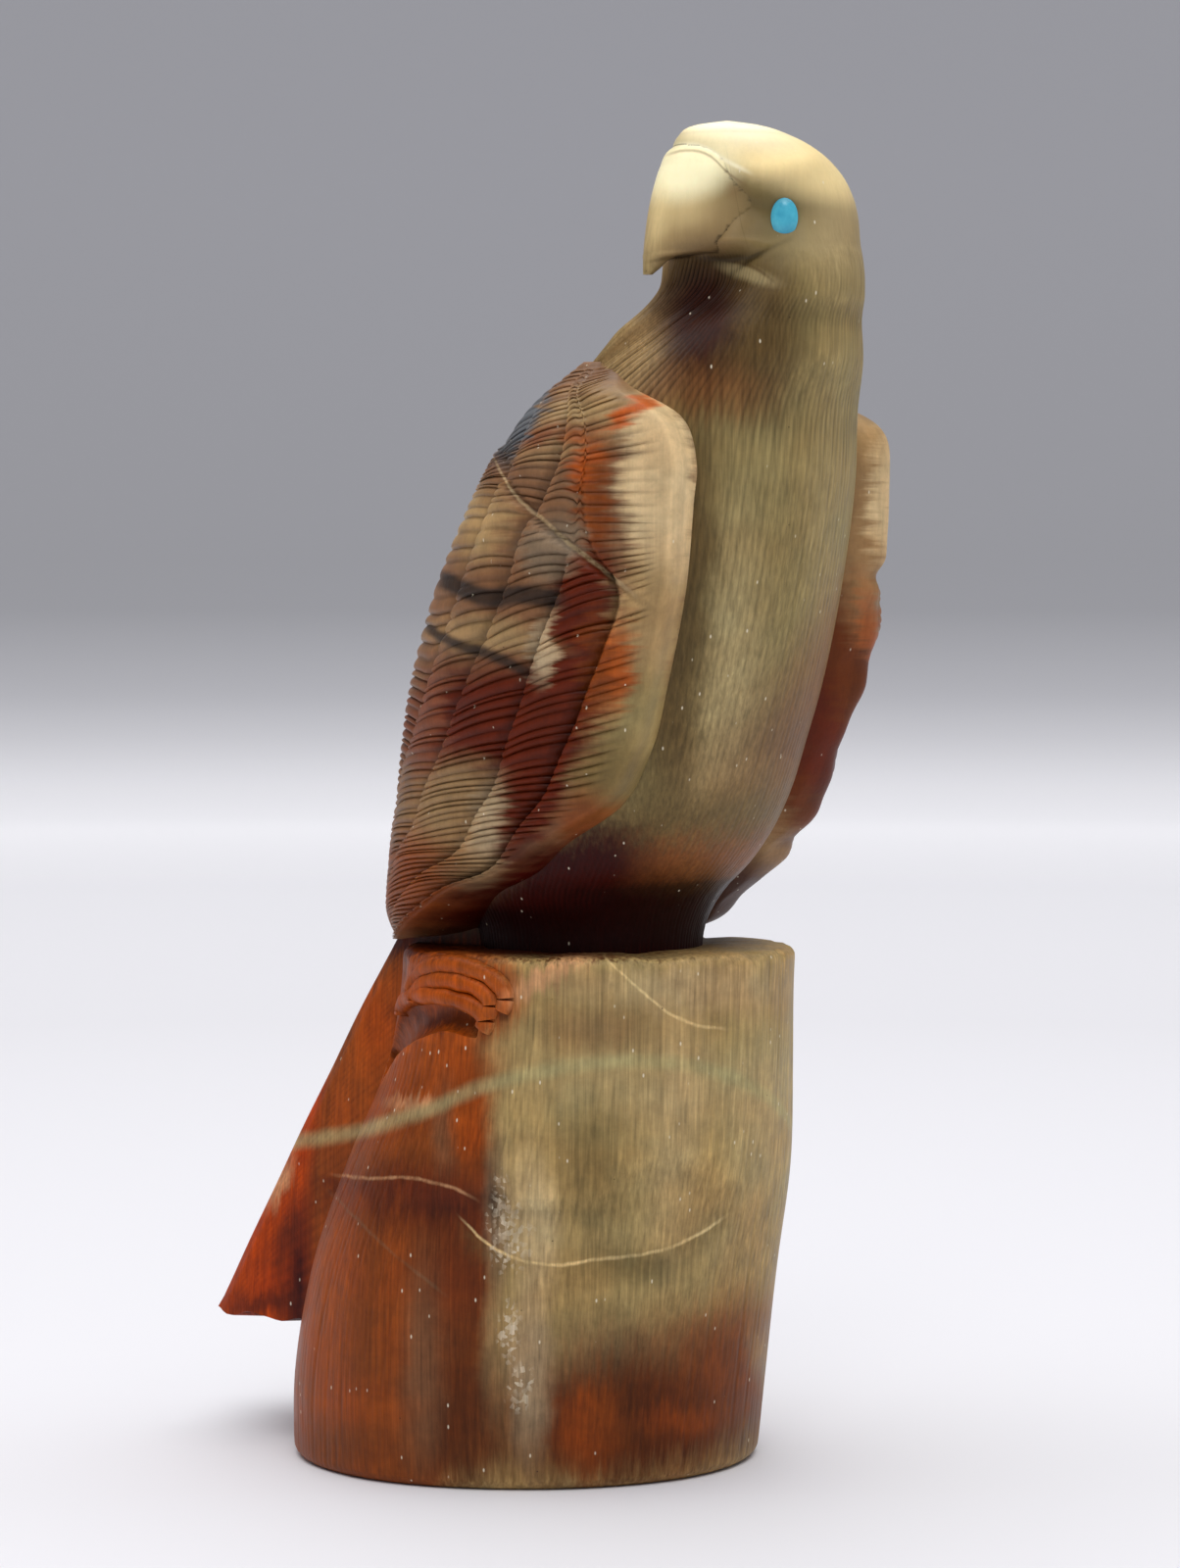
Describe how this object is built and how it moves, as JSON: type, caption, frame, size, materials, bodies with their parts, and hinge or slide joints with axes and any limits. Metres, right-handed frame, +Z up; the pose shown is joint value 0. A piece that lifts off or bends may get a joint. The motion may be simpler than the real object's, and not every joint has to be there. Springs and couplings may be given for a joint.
{
  "type": "carved stone eagle fetish",
  "caption": "Stone eagle carved in one piece with the stump it perches on, head turned to its right, tail hanging behind, inlaid eyes.",
  "frame": {"origin": "centre of the stump's flat underside, on the surface it stands on", "axes": "+Z up; the bird's breast faces -Y, its tail hangs on the +Y side and its own left is +X"},
  "size_m": [0.033, 0.0554, 0.098],
  "materials": {
    "banded_stone": "hand polished satin, translucent at thin edges",
    "turquoise": "polished"
  },
  "bodies": {
    "root": {"eagle_on_stump": "banded_stone", "left_eye_inlay": "turquoise", "right_eye_inlay": "turquoise"}
  },
  "joints": []
}
